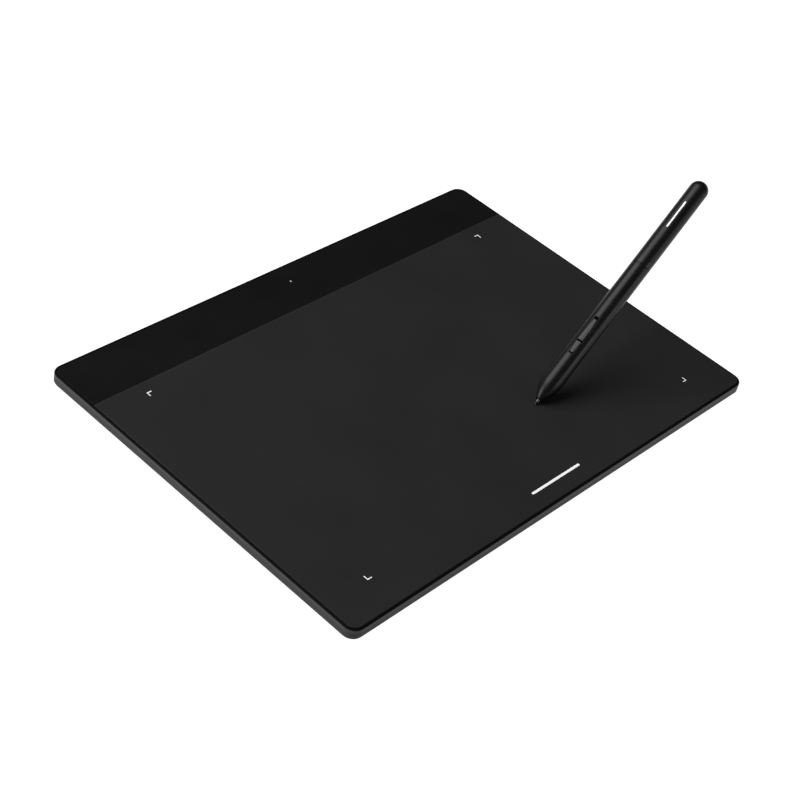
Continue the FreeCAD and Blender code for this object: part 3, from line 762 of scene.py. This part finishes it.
def column_angle(rule, radius, z):
    """Angle of a column at z, from the button line."""
    kind, value, side = rule
    half = key_half(z, KEY_GAP)
    if kind == "inside":
        return side * math.asin(half * value / radius)
    if kind == "lip":
        return side * math.asin((half + value) / radius)
    start = math.asin((half + LIP + LIP_RUNOUT) / radius)
    return side * (start + (math.pi - start) * value)


def front_surface(z, rule):
    """Point of the front barrel's outside, how worn it is, and its tone, which is 0 where the pocket floor
    and the slot's lips are painted as shade.
    """
    kind, value, _ = rule
    radius = barrel_radius(z)
    angle = column_angle(rule, max(radius, 2.6), z)
    end = SEAM_Z - SEAM_GAP
    in_slot = SLOT_Z[0] <= z <= SLOT_Z[1]
    over_pocket = SLOT_Z[1] < z < POCKET_BACK_Z
    drop = 0.0
    if z - NOSE_Z < NOSE_ROUND:
        drop = lip_drop(z - NOSE_Z, NOSE_ROUND) * 0.6
    if end - z < LIP:
        drop = lip_drop(end - z) * 0.5
    if kind == "lip" and (in_slot or over_pocket):
        drop = lip_drop(value)
    if kind == "inside" and 0 <= SLOT_Z[0] - z < LIP:
        drop = lip_drop(SLOT_Z[0] - z)
    if kind == "inside" and 0 <= z - POCKET_BACK_Z < LIP:
        drop = lip_drop(z - POCKET_BACK_Z)
    sunk = kind == "inside" and SLOT_Z[1] - 0.005 < z < POCKET_BACK_Z - 0.005
    x = POCKET_X if sunk else (radius - drop) * math.cos(angle)
    y = (radius - drop) * math.sin(angle)
    # Tone 0 paints shade on the pocket floor and on the slot's lips.
    return placed(x, y, z), min(1.0, drop / LIP), 0.0 if sunk or drop > 0.2 * LIP else 1.0


def bore_radius(z):
    """Inner radius of the front barrel: the nib's hole, a taper, then the main bore."""
    if z < NOSE_BORE_Z:
        return NOSE_BORE_R
    if z < NOSE_BORE_Z + TAPER_LENGTH:
        return TAPER_R + (BORE_R - TAPER_R) * (z - NOSE_BORE_Z) / TAPER_LENGTH
    return BORE_R


def front_barrel():
    """Nose cone and grip as one closed shell, open at the slot, the nose bore and the seam."""
    rules = columns()
    rows = front_rows()
    points, wear_and_sheen, tone, outer, inner = [], [], [], [], []
    for z in rows:
        outer.append(range(len(points), len(points) + len(rules)))
        for rule in rules:
            point, polish, shade = front_surface(z, rule)
            points.append(point)
            wear_and_sheen.append(polish * 0.5)
            tone.append(shade)
    for z in rows:
        inner.append(range(len(points), len(points) + len(rules)))
        radius = bore_radius(z)
        for rule in rules:
            angle = column_angle(rule, max(radius, 4.0), z)
            points.append(placed(radius * math.cos(angle), radius * math.sin(angle), z))
            wear_and_sheen.append(0.0)
            # The bore is painted as shade.
            tone.append(0.0)
    count = len(rules)
    inside = {i for i, rule in enumerate(rules) if rule[0] == "inside"}
    open_columns = {j for j in range(count) if j in inside or (j + 1) % count in inside}
    open_rows = [i for i, z in enumerate(rows) if SLOT_Z[0] - 1e-6 <= z < SLOT_Z[1] - 1e-6]
    first, last = open_rows[0], open_rows[-1] + 1
    faces = []
    for j in range(count):
        k = (j + 1) % count
        for i in range(len(rows) - 1):
            if first <= i < last and j in open_columns:
                continue
            faces.append((outer[i][j], outer[i][k], outer[i + 1][k], outer[i + 1][j]))
            faces.append((inner[i][k], inner[i][j], inner[i + 1][j], inner[i + 1][k]))
        if j in open_columns:
            faces.append((outer[first][j], outer[first][k], inner[first][k], inner[first][j]))
            faces.append((outer[last][k], outer[last][j], inner[last][j], inner[last][k]))
        if (j in open_columns) != (k in open_columns):
            for i in range(first, last):
                faces.append((outer[i][k], outer[i + 1][k], inner[i + 1][k], inner[i][k]))
        faces.append((outer[0][k], outer[0][j], inner[0][j], inner[0][k]))
        faces.append((outer[-1][j], outer[-1][k], inner[-1][k], inner[-1][j]))
    make_piece("front_barrel_shell", points, faces, "pen", "pen", ["front_barrel"], wear_and_sheen, tone)


def turned_piece(name, profile, look, body, replaces, turns=96):
    """Closed turned mesh from (radius, z, wear); a zero radius is a pole."""
    points, faces, wear_and_sheen, rings = [], [], [], []
    for radius, z, polish in profile:
        if radius < 1e-6:
            rings.append([len(points)])
            points.append(placed(0, 0, z))
            wear_and_sheen.append(polish)
            continue
        rings.append(list(range(len(points), len(points) + turns)))
        for step in range(turns):
            angle = 2 * math.pi * step / turns
            points.append(placed(radius * math.cos(angle), radius * math.sin(angle), z))
            wear_and_sheen.append(polish)
    for low, high in zip(rings, rings[1:]):
        if len(low) == 1 and len(high) > 1:
            faces += [(low[0], high[(i + 1) % turns], high[i]) for i in range(turns)]
        elif len(high) == 1 and len(low) > 1:
            faces += [(high[0], low[i], low[(i + 1) % turns]) for i in range(turns)]
        else:
            faces += bridge(low, high)
    if len(rings[0]) > 1 and len(rings[-1]) > 1:
        faces += bridge(rings[-1], rings[0])
    tone = [1.0] * len(points)
    make_piece(name, points, faces, look, body, replaces, wear_and_sheen, tone)


def rear_barrel():
    """Tail half of the barrel: a straight tube closed by a round dome."""
    low = SEAM_Z + SEAM_GAP
    dome = PEN_LENGTH - SEAM_R
    profile = [(SEAM_R - lip_drop(step) * 0.7, low + step, 0.5) for step in LIP_STEPS]
    profile += [(SEAM_R, low + (dome - low) * step / 12, 0) for step in range(1, 13)]
    profile += [(SEAM_R * math.cos(a), dome + SEAM_R * math.sin(a), 0.35 * math.sin(a))
                for a in quarter(16)[1:-1]]
    profile.append((0, PEN_LENGTH, 0.35))
    profile.append((0, dome + BORE_R, 0))
    profile += [(BORE_R * math.sin(a), dome + BORE_R * math.cos(a), 0) for a in quarter(8)[1:]]
    profile.append((BORE_R, low, 0))
    turned_piece("rear_barrel_shell", profile, "pen", "pen", ["rear_barrel"])


def nib():
    """Slim pin with a rounded point; the far end runs back into the holder."""
    profile = [(0, 0, 0.6)]
    profile += [(0.5 * math.sin(a), 0.4 * (1 - math.cos(a)), 0.6) for a in quarter(6)[1:]]
    profile += [(0.62, 0.7, 0.4), (0.86, 1.45, 0.3), (0.97, 1.85, 0.3), (1.0, 2.05, 0.3)]
    profile += [(1.0, 9.0, 0), (1.0, 14.9, 0), (0.9, 15.0, 0), (0, 15.0, 0)]
    turned_piece("nib_point", profile, "nib", "nib_unit", ["nib"], 48)


def spaced(low, high, ends, count):
    """Values from low to high, crowded towards both ends as the list ends says."""
    inner = ends[-1]
    values = {low + e for e in ends} | {high - e for e in ends}
    values |= {low + inner + (high - low - 2 * inner) * step / count for step in range(1, count)}
    return sorted(values)


def button(name, span, node, body):
    """Cap that follows the barrel's curve, with rounded corners and edges, over a hidden flange."""
    low, high = span
    stations = spaced(low, high, [0, 0.01, 0.03, 0.07, 0.12, 0.2, 0.3, 0.42], 30)
    shares = spaced(-1, 1, [0, 0.01, 0.03, 0.06, 0.1, 0.16], 12)
    points, wear_and_sheen, tone, grid = [], [], [], []
    for z in stations:
        row = []
        near_end = min(z - low, high - z)
        half = key_half(z) - lip_drop(near_end, BUTTON_CORNER_R)
        for share in shares:
            y = share * half
            gap = min(near_end, (1 - abs(share)) * half)
            top = math.sqrt(BUTTON_TOP_R ** 2 - y * y) - BUTTON_SINK - lip_drop(gap, BUTTON_EDGE)
            row.append(len(points))
            points.append(placed(top, y, z))
            wear_and_sheen.append(max(0.0, 1 - gap / BUTTON_EDGE) * 0.3)
            # The tone falls towards the cap's edges: painted shade in the gaps round the button.
            tone.append(min(1.0, 0.1 + gap / BUTTON_EDGE))
        grid.append(row)
    faces = []
    for low_row, high_row in zip(grid, grid[1:]):
        faces += bridge(low_row, high_row, closed=False)
    loop = grid[0] + [row[-1] for row in grid[1:-1]] + grid[-1][::-1] + [row[0] for row in grid[-2:0:-1]]
    middle = (low + high) / 2
    for x, grow in ((FLANGE_X[1], 0.0), (FLANGE_X[1], FLANGE_REACH), (FLANGE_X[0], FLANGE_REACH)):
        ring = []
        for y, z in grid_loop(loop, points):
            ring.append(len(points))
            points.append(placed(x, y + math.copysign(grow, y), z + math.copysign(grow, z - middle)))
            wear_and_sheen.append(0.0)
            # The hidden flange is painted as shade.
            tone.append(0.0)
        faces += bridge(loop, ring)
        loop = ring
    faces.append(tuple(loop))
    make_piece(name, points, faces, "button", body, [node], wear_and_sheen, tone, sharp=50)


def grid_loop(loop, points):
    """Sideways and axial places of the points in a loop."""
    places = []
    for number in loop:
        local = points[number] - PEN_TIP
        places.append((local.dot(PEN_SIDE), local.dot(PEN_AXIS)))
    return places


def pen_bar():
    """Plain printed bar along the tail, on the button line."""
    half = PEN_BAR_WIDTH / 2
    low, high = PEN_BAR_Z
    rows = [(low + half * (1 - math.cos(a)), half * math.sin(a)) for a in quarter(6)]
    rows += [(low + (high - low) * step / 6, half) for step in range(1, 6)]
    rows += [(high - half * (1 - math.cos(a)), half * math.sin(a)) for a in reversed(quarter(6))]
    points, grid = [], []
    for lift in (-0.01, PRINT_RAISE):
        for z, reach in rows:
            radius = barrel_radius(z) + lift
            row = []
            for step in range(-3, 4):
                y = reach * step / 3
                row.append(len(points))
                points.append(placed(math.sqrt(radius ** 2 - y * y), y, z))
            grid.append(row)
    count = len(rows)
    faces = []
    for sheet in (grid[:count], grid[count:]):
        for low_row, high_row in zip(sheet, sheet[1:]):
            faces += bridge(low_row, high_row, closed=False)
    low_sheet, high_sheet = grid[:count], grid[count:]
    for side in (0, -1):
        faces += bridge([row[side] for row in low_sheet], [row[side] for row in high_sheet], closed=False)
    for end in (0, -1):
        faces += bridge(low_sheet[end], high_sheet[end], closed=False)
    make_piece("pen_bar", points, faces, "white", "pen")


front_barrel()
rear_barrel()
nib()
button("front_button_cap", FRONT_BUTTON, "front_button", "front_key")
button("rear_button_cap", REAR_BUTTON, "rear_button", "rear_key")
pen_bar()


# ---------------------------------------------------------------- stage and light

def make_stage():
    """Pale floor that glows evenly, so that it stays clean under the object."""
    mesh = bpy.data.meshes.new("floor")
    reach = 12.0
    corners = [(-reach, -reach), (reach, -reach), (reach, reach), (-reach, reach)]
    mesh.from_pydata([(x, y, -0.0002) for x, y in corners], [], [(0, 1, 2, 3)])
    floor = linked("floor", mesh)
    mat, tree, shader = material("floor")
    shader.inputs["Base Color"].default_value = (0.15, 0.15, 0.15, 1)
    shader.inputs["Roughness"].default_value = 0.9
    shader.inputs["Specular IOR Level"].default_value = 0.0
    shader.inputs["Emission Color"].default_value = (1, 1, 1, 1)
    shader.inputs["Emission Strength"].default_value = 1.0
    mesh.materials.append(mat)


def make_key():
    """One large soft light, high over the back left."""
    sun = bpy.data.lights.new("key", "SUN")
    sun.energy = 3.0
    sun.angle = math.radians(50)
    key = linked("key", sun)
    key.rotation_euler = Vector((0.38, -0.43, -0.82)).to_track_quat("-Z", "Y").to_euler()


def soft_panel(name, size, energy, place, aim):
    """Rectangular soft light the camera doesn't see."""
    data = bpy.data.lights.new(name, "AREA")
    data.shape = "RECTANGLE"
    data.size, data.size_y = size
    data.energy = energy
    panel = linked(name, data)
    panel.location = place
    panel.rotation_euler = Vector(aim).to_track_quat("-Z", "Y").to_euler()
    panel.visible_camera = False


def make_panels():
    """A low panel in front draws the pen's second streak, and one at the left lifts the left wall."""
    soft_panel("fill", (0.5, 0.2), 1.7, (0.28, -1.01, 0.25), (-0.18, 0.96, -0.2))
    soft_panel("side", (0.6, 0.3), 7.0, (-1.0, 0.5, 0.3), (0.84, -0.47, -0.26))


def make_world():
    """Dim studio above a pale horizon; straight behind the object it stays pale."""
    world = bpy.data.worlds.new("studio")
    bpy.context.scene.world = world
    world.use_nodes = True
    tree = world.node_tree
    tree.nodes.clear()
    coord = add(tree, "ShaderNodeTexCoord")
    split = add(tree, "ShaderNodeSeparateXYZ", {0: coord.outputs["Generated"]})
    ramp = add(tree, "ShaderNodeValToRGB", {0: split.outputs["Z"]})
    stops = ramp.color_ramp.elements
    stops[0].position = 0.0
    stops[0].color = (1.0, 1.0, 1.0, 1)
    stops[1].position = 0.06
    stops[1].color = (0.05, 0.05, 0.05, 1)
    stops.new(0.9).color = (0.10, 0.10, 0.10, 1)
    seen = add(tree, "ShaderNodeLightPath").outputs["Is Camera Ray"]
    colour = mix(tree, seen, ramp.outputs[0], (1.0, 1.0, 1.0, 1))
    background = add(tree, "ShaderNodeBackground", {0: colour, 1: 1.0})
    output = add(tree, "ShaderNodeOutputWorld")
    tree.links.new(background.outputs[0], output.inputs[0])


make_stage()
make_key()
make_panels()
make_world()
bpy.context.scene.view_settings.view_transform = "Standard"
